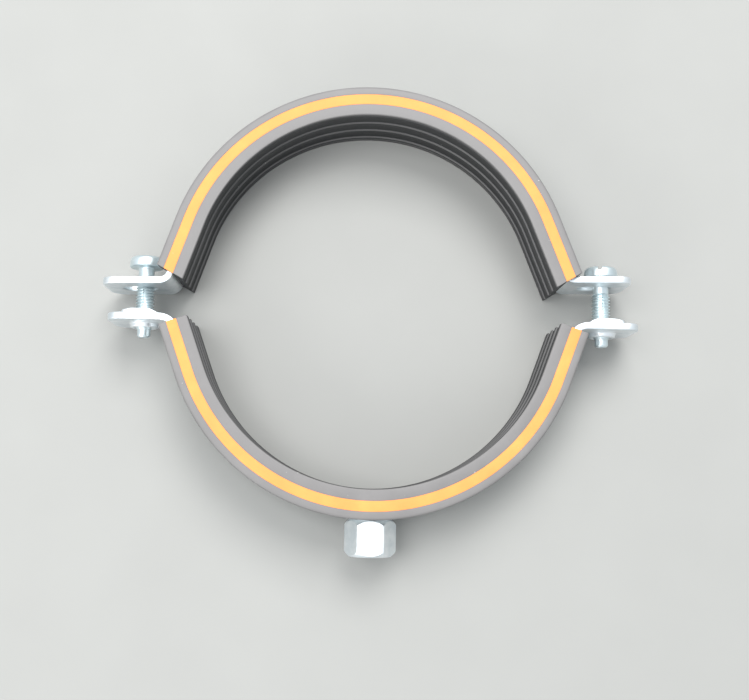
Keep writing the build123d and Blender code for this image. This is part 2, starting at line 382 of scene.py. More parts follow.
def ear_patch(start, end, hole_at, hole_length, hole_width, corner, across):
    """Flat ear between its hole and its outline: rings shrink from outline to hole along rays.
    The outline starts on the line that joins the strip, with the strip's own points."""
    b = bpy.context.scene.clamp_band
    half_w = b.width / 2
    inner = np.stack([np.full(len(across), start), across], axis=1)
    tip = np.radians(np.linspace(0, 90, 17))
    side_run = np.linspace(start, end - corner, 12)[1:]
    up_corner = np.stack(
        [end - corner + corner * np.sin(tip), half_w - corner + corner * np.cos(tip)], axis=1
    )
    end_run = np.linspace(half_w - corner, -half_w + corner, 12)[1:-1]
    low_corner = up_corner[::-1] * [1, -1]
    outline = np.concatenate(
        [
            inner,
            np.stack([side_run[:-1], np.full(len(side_run) - 1, half_w)], axis=1),
            up_corner,
            np.stack([np.full(len(end_run), end), end_run], axis=1),
            low_corner,
            np.stack([side_run[:-1], np.full(len(side_run) - 1, -half_w)], axis=1)[::-1],
        ]
    )
    from_hole = outline - [hole_at, 0]
    angle = np.arctan2(from_hole[:, 1], from_hole[:, 0])
    reach = ray_to_slot(angle, hole_length, hole_width)
    hole = np.stack([np.cos(angle), np.sin(angle)], axis=1) * reach[:, None] + [hole_at, 0]
    blend = np.array([0, 0.25, 0.5, 0.75, 1.0])[:, None, None]
    rings = outline[None] * (1 - blend) + hole[None] * blend
    return rings, grid_faces(len(blend), len(outline), close_columns=True)


def build_band(name, upper, hole_at, hole_length, hole_width):
    """The strip laid flat with a hole in each ear, thickened, its edges rounded, then bent:
    a flat point (s, v, w) goes to the band's path at s, v along the pipe and w outside it."""
    b = bpy.context.scene.clamp_band
    arc, bend, flat, end, flat_x = band_lengths(upper)
    half_w = b.width / 2
    across = np.linspace(-half_w, half_w, 9)
    stations = np.concatenate(
        [
            np.linspace(0, arc, 57),
            np.linspace(arc, bend, 6)[1:],
            np.linspace(bend, flat, 12)[1:],
        ]
    )
    stations = np.concatenate([-stations[:0:-1], stations])
    strip = np.stack(np.meshgrid(stations, across, indexing="ij"), axis=-1).reshape(-1, 2)
    strip_faces = grid_faces(len(stations), len(across))
    hole_s = flat + hole_at - flat_x
    rings, ring_faces = ear_patch(flat, end, hole_s, hole_length, hole_width, b.ear_corner, across)
    right = rings.reshape(-1, 2)
    left = right * [-1, 1]
    points = np.concatenate([strip, right, left])
    faces = np.concatenate(
        [strip_faces, ring_faces + len(strip), ring_faces[:, ::-1] + len(strip) + len(right)]
    )
    plan = np.concatenate([points, np.zeros((len(points), 1))], axis=1)
    piece = add_piece(name, plan, faces)
    thick = piece.modifiers.new("thickness", "SOLIDIFY")
    thick.thickness = b.thickness
    thick.offset = 0
    edge = piece.modifiers.new("edges", "BEVEL")
    edge.width = b.edge
    edge.segments = 3
    edge.limit_method = "ANGLE"
    edge.angle_limit = np.radians(50)
    apply_modifiers(piece)
    mesh = piece.data
    flat_points = np.empty(len(mesh.vertices) * 3)
    mesh.vertices.foreach_get("co", flat_points)
    s, v, w = flat_points.reshape(-1, 3).T
    x, y = band_path(s, w, upper)
    bent = half_place(np.stack([x, y, -v], axis=-1), upper)
    mesh.vertices.foreach_set("co", bent.ravel())
    tidy_mesh(mesh, 1e-7)
    shade(mesh, 40)
    return piece


# ---------------------------------------------------------------- liners


def liner_outline():
    """Closed C section as (w, v): ribs on the bore side, a pocket for the band, two lips, and on
    the front side the recess of the stripe."""
    b = bpy.context.scene.clamp_band
    n = bpy.context.scene.clamp_liner
    bore = -n.bore
    lip = n.lip
    half = n.width / 2
    pocket = b.width / 2
    t = b.thickness / 2
    gap = n.lip_gap / 2
    low = bore + n.groove
    s_in = -n.stripe_inner
    s_out = n.stripe_outer
    s_v = half - n.stripe_depth
    m = MM
    # The front side's points in turn: ribs from mid-width, the stripe's recess, and the lip and
    # pocket back to mid-width
    ribs = [
        (low, 0.0, 0.0),
        (low, 2.4 * m, 0.15 * m),
        (bore, 2.65 * m, 0.18 * m),
        (bore, 4.15 * m, 0.18 * m),
        (low, 4.4 * m, 0.15 * m),
        (low, 9.1 * m, 0.15 * m),
        (bore, 9.4 * m, 0.18 * m),
        (bore, 10.5 * m, 0.25 * m),
        (bore + 0.5 * m, 10.95 * m, 0.15 * m),
        (bore, 11.4 * m, 0.2 * m),
        (bore, half, 0.4 * m),
    ]
    recess = [
        (s_in, half, 0.12 * m),
        (s_in, s_v, 0.0),
        (s_out, s_v, 0.0),
        (s_out, half, 0.12 * m),
    ]
    lip_and_pocket = [
        (lip, half, 0.9 * m),
        (lip, gap + 0.3 * m, 0.8 * m),
        (t + 0.1 * m, gap, 0.3 * m),
        (t, pocket, 0.0),
        (-t, pocket, 0.0),
        (-t, 0.0, 0.0),
    ]
    front = np.array(ribs + recess + lip_and_pocket)
    back = np.array(ribs + lip_and_pocket)[-2:0:-1] * [1, -1, 1]
    loop = np.concatenate([front, back])
    return loop[:, :2], loop[:, 2]


def liner_runs(upper):
    """Straight runs on the left and right of a half's own plane, and the lean of its cuts."""
    n = bpy.context.scene.clamp_liner
    if upper:
        return n.left_run, n.right_run, n.lean
    return n.lower_run, n.lower_run, 0.0


def build_arch_piece(name, outline, upper, draw_in):
    """A closed section carried round one half. Past the round part each point's run is scaled,
    so that a cut can lean: its length falls with its distance outside the centre line. The end
    sections are drawn in a little towards their middle, which rounds the cut edges."""
    radius = half_sizes(upper)[0]
    left, right, lean = liner_runs(upper)
    arc = radius * ARC_HALF
    shares = np.linspace(0, 1, 7)[1:]
    along = np.concatenate([-1 - shares[::-1], np.linspace(-1, 1, 121), 1 + shares])
    ends = np.array([1 - draw_in / left, 1 - draw_in / right]) + 1
    along = np.concatenate([along[:1], [-ends[0]], along[1:-1], [ends[1]], along[-1:]])
    w = np.broadcast_to(outline[None, :, 0], (len(along), len(outline))).copy()
    v = np.broadcast_to(outline[None, :, 1], w.shape).copy()
    run = np.where(along[:, None] < 0, left, right) - lean * w
    over = np.maximum(np.abs(along)[:, None] - 1, 0)
    s = np.sign(along)[:, None] * (np.minimum(np.abs(along), 1)[:, None] * arc + over * run)
    middle = outline.mean(axis=0)
    for row in (0, -1):
        w[row] += np.clip(middle[0] - w[row], -draw_in, draw_in)
        v[row] += np.clip(middle[1] - v[row], -draw_in, draw_in)
    x, y = arch_path(s, w, radius)
    points = half_place(np.stack([x, y, v], axis=-1), upper)
    rows, columns = points.shape[:2]
    faces = grid_faces(rows, columns, close_columns=True)
    caps = [list(range(columns))[::-1], list(range((rows - 1) * columns, rows * columns))]
    flow = np.stack([s, np.broadcast_to(outline[None, :, 0], s.shape)], axis=-1)
    return add_piece(name, points, faces, flow=flow, extra_faces=caps)


# ---------------------------------------------------------------- turned and threaded pieces

AROUND = 72


def turn_grid(radius, height, centre_x):
    """Points of a turned surface about a line along Y: radius and height are grids, and the
    angle runs round the columns, from Z towards X, so a rising thread is right-handed."""
    radius, height = np.broadcast_arrays(radius, height)
    angle = TURN * np.arange(radius.shape[1]) / radius.shape[1]
    return np.stack(
        [
            centre_x + radius * np.sin(angle),
            height,
            radius * np.cos(angle),
        ],
        axis=-1,
    )


def thread_rows(low, high, minor, major, pitch, columns, per_turn=12, fade=0.6):
    """Rows of a helical thread between two heights. Each row follows the helix, so the crests
    stay crisp: height = (row / rows per turn + angle / one turn) x pitch, held between the two
    ends. The radius goes up and down with the row's place in a turn: a crest of an eighth of
    the pitch, straight flanks and a root of a quarter. It fades to the minor radius at the ends."""
    angle = np.arange(columns) / columns
    turns = (high - low) / pitch
    first = -per_turn
    last = int(np.ceil(turns * per_turn))
    row = np.arange(first, last + 1)[:, None]
    place = (row / per_turn) % 1.0
    wave = np.clip((np.abs(place - 0.5) * 2 - 0.14) / 0.6, 0, 1)
    free = low + (row / per_turn + angle[None]) * pitch
    height = np.clip(free, low, high)
    near_end = np.minimum(height - low, high - height) / (fade * pitch)
    depth = smooth(near_end)
    radius = minor + (major - minor) * (1 - wave) * depth
    return radius, height


def rows_of(pairs, columns):
    """Plain rows, each of one radius and height."""
    pairs = np.array(pairs, float)
    return (
        np.repeat(pairs[:, :1], columns, axis=1),
        np.repeat(pairs[:, 1:], columns, axis=1),
    )


def arc_rows(centre_r, centre_h, radius, start, end, steps=5):
    """Radius and height pairs along a small arc, angles in degrees from the radius direction."""
    a = np.radians(np.linspace(start, end, steps))
    return list(zip(centre_r + radius * np.cos(a), centre_h + radius * np.sin(a)))


def box_cutter(name, centre, half, turned):
    """A box about a vertical line, turned about it, for cutting a drive slot."""
    sign = np.array([[x, y, z] for x in (-1, 1) for y in (-1, 1) for z in (-1, 1)], float)
    corner = sign * half
    c, s = np.cos(turned), np.sin(turned)
    x = corner[:, 0] * c + corner[:, 2] * s
    z = -corner[:, 0] * s + corner[:, 2] * c
    points = np.stack([x, corner[:, 1], z], axis=1) + centre
    faces = [(0, 1, 3, 2), (4, 6, 7, 5), (0, 4, 5, 1), (2, 3, 7, 6), (0, 2, 6, 4), (1, 5, 7, 3)]
    return add_piece(name, points, faces)


def cross_cutter(name, centre, arm, width, depth, turned):
    """A tapering cross: its outline shrinks towards the bottom, as a cross drive's does."""
    a, w = arm, width / 2
    outline = np.array(
        [
            (w, a), (w, w), (a, w), (a, -w), (w, -w), (w, -a),
            (-w, -a), (-w, -w), (-a, -w), (-a, w), (-w, w), (-w, a),
        ]
    )
    c, s = np.cos(turned), np.sin(turned)
    outline = np.stack(
        [outline[:, 0] * c + outline[:, 1] * s, -outline[:, 0] * s + outline[:, 1] * c], axis=1
    )
    levels = np.array([0.5 * MM, 0, -0.35 * depth, -depth])
    scale = np.array([1.05, 1.0, 0.86, 0.42])
    points = np.stack(
        [
            centre[0] + outline[None, :, 0] * scale[:, None],
            np.broadcast_to(centre[1] + levels[:, None], (4, 12)),
            centre[2] + outline[None, :, 1] * scale[:, None],
        ],
        axis=-1,
    )
    caps = [list(range(12)), list(range(36, 48))[::-1]]
    return add_piece(name, points, grid_faces(4, 12, close_columns=True), extra_faces=caps)


def build_screw(name, x, turned):
    """Cheese-head screw, turned about Y: dog point, thread, plain neck, head with a rounded
    rim, then a slot and a tapering cross cut in its top."""
    t = bpy.context.scene.clamp_screw
    m = MM
    seat = SCREW_HIGH.y - t.head_height
    tip = SCREW_LOW.y
    dog_top = tip + t.dog_length
    thread_top = seat - t.neck_length
    minor = t.thread_radius - 0.61 * t.pitch
    c = AROUND
    head = t.head_radius
    top = SCREW_HIGH.y
    rim = 1.5 * m
    start = rows_of(
        [
            (0, tip),
            (t.dog_radius - 0.55 * m, tip),
            (t.dog_radius - 0.1 * m, tip + 0.42 * m),
            (t.dog_radius, tip + 0.6 * m),
            (t.dog_radius, dog_top - 0.35 * m),
            (minor - 0.1 * m, dog_top - 0.15 * m),
            (minor, dog_top),
        ],
        c,
    )
    thread = thread_rows(dog_top, thread_top, minor, t.thread_radius, t.pitch, c)
    rest = rows_of(
        [
            (minor, thread_top),
            (t.neck_radius, thread_top + 0.3 * m),
            (t.neck_radius, seat - 0.35 * m),
            (t.neck_radius + 0.12 * m, seat - 0.1 * m),
            (t.neck_radius + 0.4 * m, seat),
            (head - 0.6 * m, seat),
        ]
        + arc_rows(head - 0.4 * m, seat + 0.4 * m, 0.4 * m, -70, 0, 4)
        + [(head - 0.02 * m, top - rim - 0.6 * m)]
        + arc_rows(head - 0.12 * m - rim, top - rim, rim, 4, 84, 9)
        + [(head - rim - 1.0 * m, top - 0.01 * m), (0, top)],
        c,
    )
    radius = np.concatenate([start[0], thread[0], rest[0]])
    height = np.concatenate([start[1], thread[1], rest[1]])
    points = turn_grid(radius, height, x)
    piece = add_piece(name, points, grid_faces(*radius.shape, close_columns=True), sharp=50)
    slot = box_cutter(
        "slot_cutter", (x, top, 0), np.array([0.75, 1.5, 7]) * m, turned
    )
    cross = cross_cutter("cross_cutter", (x, top - 0.1 * m, 0), 3.0 * m, 1.25 * m, 2.9 * m, turned)
    return cut(piece, [slot, cross], sharp=38)


# ---------------------------------------------------------------- thread plate and nut


def plate_height(out):
    """Height of a thread plate above the ear at a distance outwards from the screw: flat over
    the collar, falling a little to its outer end and more to its toe, where the ear's bend
    starts."""
    m = MM
    full = PLATE_HIGH.y - lower_ear_top()
    toe = (full - 0.6 * m) * smooth((-out - 2.4 * m) / (3.8 * m))
    end = (full - 1.25 * m) * smooth((out - 2.6 * m) / (3.4 * m))
    return full - toe - end


def lower_ear_top():
    """Height of the lower ears' upper face."""
    b = bpy.context.scene.clamp_band
    return -b.lower_ear + b.thickness / 2


def build_thread_plate(name, side):
    """One closed ring round the screw: its plan goes from the round thread to a rounded
    rectangle along rays, over the top, round the rim, back underneath to the collar, down
    through the ear, and up the threaded bore."""
    b = bpy.context.scene.clamp_band
    n = bpy.context.scene.clamp_nut
    t = bpy.context.scene.clamp_screw
    m = MM
    c = 96
    x0 = side * (SCREW_LOW.x + SCREW_HIGH.x) / 2
    ear = lower_ear_top()
    under = ear - b.thickness
    foot = PLATE_LOW.y
    angle = TURN * np.arange(c) / c
    sin, cos = np.sin(angle), np.cos(angle)
    inner, outer = abs(x0) - PLATE_LOW.x, PLATE_HIGH.x - abs(x0)
    shift = (outer - inner) / 2
    reach_x, reach_z = (outer + inner) / 2, (PLATE_HIGH.z - PLATE_LOW.z) / 2

    def plan(share, inset):
        """Ring in plan between the thread's mouth (0) and the plate's outline (1)."""
        d = ray_to_box(np.pi / 2 - angle, reach_x - inset, reach_z - inset, 1.0 * m - inset)
        edge_x, edge_z = d * sin + shift, d * cos
        r = t.thread_radius + 0.25 * m
        return share * edge_x + (1 - share) * r * sin, share * edge_z + (1 - share) * r * cos

    def top_at(px):
        return ear + plate_height(px)

    rows = []
    for share, inset, drop in (
        (0.0, 0.42 * m, 0.0),
        (0.12, 0.42 * m, 0.0),
        (0.3, 0.42 * m, 0.0),
        (0.5, 0.42 * m, 0.0),
        (0.7, 0.42 * m, 0.0),
        (0.88, 0.42 * m, 0.0),
        (1.0, 0.42 * m, 0.0),
        (1.0, 0.2 * m, 0.09 * m),
        (1.0, 0.06 * m, 0.24 * m),
        (1.0, 0.0, 0.42 * m),
    ):
        px, pz = plan(share, inset)
        rows.append((px, np.maximum(top_at(px) - drop, ear + 0.02 * m), pz))
    for share, inset, height in ((1.0, 0.0, 0.0), (0.6, 0.0, 0.0)):
        px, pz = plan(share, inset)
        rows.append((px, np.full(c, ear + height), pz))
    collar = n.collar
    for r, y in (
        (collar - 0.03 * m, ear),
        (collar - 0.03 * m, under - 0.01 * m),
        (collar + 0.45 * m, under - 0.01 * m),
        (collar + 0.24 * m, under - 0.09 * m),
        (collar + 0.07 * m, under - 0.26 * m),
        (collar, under - 0.5 * m),
        (collar - 0.04 * m, foot + 0.45 * m),
        (collar - 0.2 * m, foot + 0.14 * m),
        (collar - 0.55 * m, foot),
        (t.thread_radius + 0.35 * m, foot),
        (t.thread_radius + 0.05 * m, foot + 0.3 * m),
    ):
        rows.append((r * sin, np.full(c, y), r * cos))
    for r, y in zip(
        *thread_rows(
            foot + 0.3 * m,
            PLATE_HIGH.y - 0.3 * m,
            t.thread_radius - 0.5 * t.pitch,
            t.thread_radius + 0.05 * m,
            t.pitch,
            c,
        )
    ):
        rows.append((r * sin, y, r * cos))
    rows.append(((t.thread_radius + 0.05 * m) * sin, np.full(c, PLATE_HIGH.y - 0.25 * m),
                 (t.thread_radius + 0.05 * m) * cos))
    points = np.array(rows).transpose(0, 2, 1)
    points = points * [side, 1, 1] + [x0, 0, 0]
    faces = grid_faces(len(rows), c, close_rows=True, close_columns=True)
    return add_piece(name, points, faces, sharp=42)


def build_nut(name):
    """Hexagon nut along Y on a round neck. At each angle the flats stand at half the width over
    the cosine of the angle from the flat's middle. A rounded bevel trims both ends: its radius
    falls from the corner's to the face's with the square of the way to the end. It meets a flat
    in an arc. The neck's base follows the round of the band, and the mouth leads into the
    thread."""
    b = bpy.context.scene.clamp_band
    n = bpy.context.scene.clamp_nut
    m = MM
    c = 144
    angle = TURN * np.arange(c) / c
    from_flat = (angle + np.pi / 6) % (np.pi / 3) - np.pi / 6
    hexagon = n.flats / 2 / np.cos(from_flat)
    hexagon = hexagon - smooth((np.abs(from_flat) - np.radians(27)) / np.radians(3)) * 0.1 * m
    corner, face = n.flats / 2 * 1.16, n.flats / 2 - 0.6 * m
    reach = n.bevel * (1 - np.sqrt((corner - hexagon) / (corner - face)))
    mouth = NUT_LOW.y
    top = -n.top
    band_out = b.lower_radius + b.thickness / 2 + 0.02 * m

    def base_y(radius):
        return -np.sqrt(band_out**2 - (radius * np.sin(angle)) ** 2)

    rows_r, rows_y = [], []

    def ring(radius, y):
        rows_r.append(np.broadcast_to(radius, c))
        rows_y.append(np.broadcast_to(y, c))

    shares = (0.0, 0.12, 0.3, 0.5, 0.7, 0.86, 0.96, 1.0)
    ring(n.bore + 0.8 * m, mouth)
    ring(face - 0.3 * m, mouth)
    for share in shares:
        d = share * reach
        ring(corner - (corner - face) * (1 - d / n.bevel) ** 2, mouth + d)
    low, high = mouth + reach, top - reach
    for share in (0.04, 0.3, 0.7, 0.96):
        ring(hexagon, low + (high - low) * share)
    for share in shares[::-1]:
        d = share * reach
        ring(corner - (corner - face) * (1 - d / n.bevel) ** 2, top - d)
    ring(n.neck, top + 0.15 * m)
    for share in (1.0, 0.7, 0.35, 0.0):
        ring(n.neck * share, base_y(n.neck * share))
    inner_r, inner_y = [], []
    floor_y = mouth + n.depth
    for r, y in ((0, floor_y + 1.4 * m), (n.bore * 0.9, floor_y), (n.bore, floor_y - 0.3 * m)):
        inner_r.append(np.full(c, r))
        inner_y.append(np.full(c, y))
    tr, ty = thread_rows(
        mouth + 0.8 * m, floor_y - 0.3 * m, n.bore, n.bore + 0.75 * m, n.pitch, c
    )
    radius = np.concatenate([np.array(inner_r), tr[::-1], np.array(rows_r)])
    height = np.concatenate([np.array(inner_y), ty[::-1], np.array(rows_y)])
    points = turn_grid(radius, height, 0)
    return add_piece(name, points, grid_faces(*radius.shape, close_columns=True), sharp=28)


# ---------------------------------------------------------------- finishes


def add_node(tree, kind, links=None, **settings):
    """Adds one node. Settings are its attributes or inputs by name; links join its inputs to
    other nodes' outputs."""
    node = tree.nodes.new(kind)
    for key, value in settings.items():
        if hasattr(node, key):
            setattr(node, key, value)
        else:
            node.inputs[key.replace("_", " ")].default_value = value
    for key, source in (links or {}).items():
        tree.links.new(source, node.inputs[key])
    return node


def new_material(name):
    material = bpy.data.materials.new(name)
    material.use_nodes = True
    tree = material.node_tree
    tree.nodes.clear()
    out = tree.nodes.new("ShaderNodeOutputMaterial")
    shader = tree.nodes.new("ShaderNodeBsdfPrincipled")
    tree.links.new(shader.outputs["BSDF"], out.inputs["Surface"])
    return material, tree, shader


def ramp(tree, source, stops):
    """A colour ramp over plain values, from (place, value or colour) pairs."""
    node = add_node(tree, "ShaderNodeValToRGB", {"Fac": source})
    points = node.color_ramp.elements
    while len(points) < len(stops):
        points.new(0.5)
    for point, (place, value) in zip(points, stops):
        point.position = place
        point.color = (*value, 1) if hasattr(value, "__len__") else (value, value, value, 1)
    return node


def zinc_finish(name, bright, dull, roughness):
    """Bright electroplated zinc on cold-rolled steel: a satin bluish metal whose gloss is broken
    by cloudy patches of plate some 6 mm across and a grain finer than
    the eye can part, drawn at 0.25 mm."""
    material, tree, shader = new_material(name)
    place = add_node(tree, "ShaderNodeTexCoord").outputs["Object"]
    cloud = add_node(
        tree, "ShaderNodeTexNoise", {"Vector": place}, Scale=160.0, Detail=4.0, Roughness=0.55
    )
    grain = add_node(
        tree, "ShaderNodeTexNoise", {"Vector": place}, Scale=3600.0, Detail=2.0, Roughness=0.6
    )
    tint = ramp(tree, cloud.outputs["Fac"], [(0.36, tuple(dull)), (0.62, tuple(bright))])
    tree.links.new(tint.outputs["Color"], shader.inputs["Base Color"])
    both = add_node(
        tree,
        "ShaderNodeMath",
        {0: cloud.outputs["Fac"], 1: grain.outputs["Fac"]},
        operation="ADD",
    )
    gloss = add_node(
        tree,
        "ShaderNodeMapRange",
        {"Value": both.outputs[0]},
        From_Min=0.7,
        From_Max=1.3,
        To_Min=roughness + 0.09,
        To_Max=roughness - 0.07,
    )
    tree.links.new(gloss.outputs["Result"], shader.inputs["Roughness"])
    bump = add_node(
        tree, "ShaderNodeBump", {"Height": grain.outputs["Fac"]}, Strength=0.12, Distance=0.00006
    )
    tree.links.new(bump.outputs["Normal"], shader.inputs["Normal"])
    shader.inputs["Metallic"].default_value = 1.0
    return material


def rubber_finish(name, inside, bloom_and_highlight_tone, side_z, roughness, sheen, speck):
    """Extruded rubber: dull, with fine lines along its run about 0.3 mm apart. Its side faces
    are paler in soft patches some 9 mm across, partly from blooming and partly painted sheen
    of the light from above, with a few pale specks of dust. The ribs' walls that face the front
    take part of that pale tone as painted highlight; its inside stays dark."""
    material, tree, shader = new_material(name)
    place = add_node(tree, "ShaderNodeTexCoord").outputs["Object"]
    flow = add_node(tree, "ShaderNodeUVMap", uv_map="flow").outputs["UV"]
    stretch = add_node(tree, "ShaderNodeMapping", {"Vector": flow}, Scale=(60.0, 3300.0, 1.0))
    lines = add_node(
        tree, "ShaderNodeTexNoise", {"Vector": stretch.outputs["Vector"]}, Scale=1.0, Detail=2.0
    )
    patch = add_node(
        tree, "ShaderNodeTexNoise", {"Vector": place}, Scale=110.0, Detail=5.0, Roughness=0.65
    )
    specks = add_node(tree, "ShaderNodeTexNoise", {"Vector": place}, Scale=900.0, Detail=1.0)
    # Pale tone for the side faces and front-facing rib walls: blooming in patches, with painted
    # sheen and painted highlight
    bloom_and_highlight_tone = np.array(bloom_and_highlight_tone)
    bloom_and_highlight = ramp(
        tree,
        patch.outputs["Fac"],
        [(0.3, tuple(bloom_and_highlight_tone * 0.9)), (0.55, tuple(bloom_and_highlight_tone)), (0.8, tuple(bloom_and_highlight_tone * 1.12))],
    )
    # Side faces, within a millimetre of the width's ends: blooming, and in part painted sheen of
    # the light from above
    split = add_node(tree, "ShaderNodeSeparateXYZ", {"Vector": place})
    depth = add_node(tree, "ShaderNodeMath", {0: split.outputs["Z"]}, operation="ABSOLUTE")
    outer = add_node(
        tree,
        "ShaderNodeMapRange",
        {"Value": depth.outputs[0]},
        From_Min=side_z - 1.0 * MM,
        From_Max=side_z - 0.4 * MM,
    )
    # Painted highlight: faces turned towards +Z, where the lamps are, take up to 0.6 of the pale
    # tone
    facing = add_node(
        tree,
        "ShaderNodeSeparateXYZ",
        {"Vector": add_node(tree, "ShaderNodeTexCoord").outputs["Normal"]},
    )
    painted_wall_highlight = add_node(
        tree, "ShaderNodeMapRange", {"Value": facing.outputs["Z"]}, From_Min=0.3, To_Max=0.6
    )
    # Share of the pale tone: the larger of the side faces' share and the painted highlight on rib
    # walls
    lightened = add_node(
        tree,
        "ShaderNodeMath",
        {0: outer.outputs["Result"], 1: painted_wall_highlight.outputs["Result"]},
        operation="MAXIMUM",
    )
    tone = add_node(
        tree,
        "ShaderNodeMix",
        {"Factor": lightened.outputs[0], "B": bloom_and_highlight.outputs["Color"]},
        data_type="RGBA",
        A=(*inside, 1.0),
    )
    dust = ramp(tree, specks.outputs["Fac"], [(0.8, 0.0), (0.83, speck)])
    mixed = add_node(
        tree,
        "ShaderNodeMix",
        {"Factor": dust.outputs["Color"], "A": tone.outputs["Result"]},
        data_type="RGBA",
        B=(0.62, 0.61, 0.58, 1.0),
    )
    tree.links.new(mixed.outputs["Result"], shader.inputs["Base Color"])
    gloss = add_node(
        tree,
        "ShaderNodeMapRange",
        {"Value": patch.outputs["Fac"]},
        From_Min=0.3,
        From_Max=0.7,
        To_Min=roughness - 0.06,
        To_Max=roughness + 0.06,
    )
    tree.links.new(gloss.outputs["Result"], shader.inputs["Roughness"])
    bump = add_node(
        tree, "ShaderNodeBump", {"Height": lines.outputs["Fac"]}, Strength=0.3, Distance=0.00005
    )
    tree.links.new(bump.outputs["Normal"], shader.inputs["Normal"])
    shader.inputs["Specular IOR Level"].default_value = sheen
    return material


def bright_zinc_plate():
    """Bright zinc-plated steel strip and nut: pressed, tumbled clean, plated."""
    f = bpy.context.scene.clamp_finish
    return zinc_finish("bright_zinc_plate", f.zinc, f.zinc_dull, 0.43)


def blue_passivated_zinc():
    """Screws: cold-headed and rolled, then zinc with a blue-clear passivation, a bit glossier."""
    f = bpy.context.scene.clamp_finish
    dull = np.array(f.passivated) * 0.8
    return zinc_finish("blue_passivated_zinc", f.passivated, dull, 0.4)


def black_epdm_rubber():
    """Liners: extruded EPDM rubber, black inside, a dull grey on the side faces from blooming
    and painted sheen, with painted highlight on the ribs' front-facing walls.
    """
    n = bpy.context.scene.clamp_liner
    return rubber_finish("black_epdm_rubber", n.rubber, n.bloom_and_highlight, n.width / 2, 0.55, 0.45, 0.5)


def orange_epdm_rubber():
    """Stripes: the same rubber in orange, run into the sides as the liner is extruded."""
    n = bpy.context.scene.clamp_liner
    return rubber_finish("orange_epdm_rubber", n.stripe, n.stripe, n.width / 2, 0.6, 0.2, 0.1)


def painted_floor():
    """Studio floor: a dull pale sheet with barely visible mottling."""
    f = bpy.context.scene.clamp_finish
    material, tree, shader = new_material("pale_studio_sheet")
    place = add_node(tree, "ShaderNodeTexCoord").outputs["Object"]
    mottle = add_node(tree, "ShaderNodeTexNoise", {"Vector": place}, Scale=30.0, Detail=3.0)
    base = np.array(f.floor)
    tint = ramp(tree, mottle.outputs["Fac"], [(0.3, tuple(base * 0.97)), (0.7, tuple(base))])
    tree.links.new(tint.outputs["Color"], shader.inputs["Base Color"])
    shader.inputs["Roughness"].default_value = 0.85
    shader.inputs["Specular IOR Level"].default_value = 0.2
    return material


def finish_named(name, make):
    """The material of this name, made the first time it is asked for."""
    return bpy.data.materials.get(name) or make()


# ---------------------------------------------------------------- stage


CAMERA_AT = (-0.00707, -0.05380, 0.31700)
CAMERA_TARGET = (0.00033, -0.01174, 0)
CAMERA_ROLL = np.radians(1.064)
CAMERA_LENS = 47.301  # mm, on a 36 mm wide sensor
FLOOR_REACH = 3.0
SKY_STRENGTH = 1.1
# Softboxes: name, place, what it faces, width in metres and power in watts
SOFTBOXES = (
    ("key_softbox", (0.1, 0.6, 0.9), (0, 0.02, 0), 0.6, 13),
    ("overhead_softbox", (-0.35, 0.05, 0.9), (0, 0, 0), 0.5, 5.5),
    ("front_softbox", (-0.5, -0.7, 0.35), (0, 0, 0), 0.5, 4),
)


def look(camera, at, target, roll):
    """Points a camera from one place at another, its top towards +Y, then rolls it."""
    back = (Vector(at) - Vector(target)).normalized()
    right = Vector((0, 1, 0)).cross(back).normalized()
    up = back.cross(right)
    camera.matrix_world = (
        Matrix.Translation(at)
        @ Matrix((right, up, back)).transposed().to_4x4()
        @ Matrix.Rotation(roll, 4, "Z")
    )


def soft_light(name, at, target, width, power):
    """A square softbox that faces its target."""
    data = bpy.data.lights.new(name, "AREA")
    data.shape = "SQUARE"
    data.size = width
    data.energy = power
    light = bpy.data.objects.new(name, data)
    bpy.context.scene.collection.objects.link(light)
    light.location = at
    light.rotation_euler = (Vector(target) - Vector(at)).to_track_quat("-Z", "Y").to_euler()
    return light


# ---------------------------------------------------------------- operators


class CLAMP_OT_bands(Operator):
    """Build the two steel band halves with their ears"""

    bl_idname = "clamp.bands"
    bl_label = "Steel bands"

    def execute(self, context):
        b = context.scene.clamp_band
        n = context.scene.clamp_nut
        upper = build_band("upper_band_steel", True, b.slot_at, b.slot_length, b.slot_width)
        hole = 2 * (n.collar + 0.02 * MM)
        hole_at = (SCREW_LOW.x + SCREW_HIGH.x) / 2
        lower = build_band("lower_band_steel", False, hole_at, hole, hole)
        zinc = finish_named("bright_zinc_plate", bright_zinc_plate)
        finish_piece(upper, "upper_band", "upper_half", zinc)
        finish_piece(lower, "lower_band", "lower_half", zinc)
        return {"FINISHED"}


class CLAMP_OT_liners(Operator):
    """Build the two ribbed rubber liners"""

    bl_idname = "clamp.liners"
    bl_label = "Rubber liners"

    def execute(self, context):
        outline = rounded(*liner_outline(), 4)
        rubber = finish_named("black_epdm_rubber", black_epdm_rubber)
        for half in ("upper", "lower"):
            piece = build_arch_piece(half + "_liner_rubber", outline, half == "upper", 0.12 * MM)
            finish_piece(piece, half + "_liner", half + "_half", rubber)
        return {"FINISHED"}


class CLAMP_OT_stripes(Operator):
    """Build the two coloured stripes in the liners' front faces"""

    bl_idname = "clamp.stripes"
    bl_label = "Coloured stripes"

    def execute(self, context):
        n = context.scene.clamp_liner
        low, high = -n.stripe_inner, n.stripe_outer
        half = n.width / 2
        deep = half - n.stripe_depth
        orange = finish_named("orange_epdm_rubber", orange_epdm_rubber)
        corners = np.array([(low, deep), (high, deep), (high, half), (low, half)])
        outline = rounded(corners, np.array([0, 0, 0.14, 0.14]) * MM, 4)
        for half_name in ("upper", "lower"):
            node = half_name + "_stripe"
            piece = build_arch_piece(node + "_rubber", outline, half_name == "upper", 0.06 * MM)
            finish_piece(piece, node, half_name + "_half", orange)
        return {"FINISHED"}


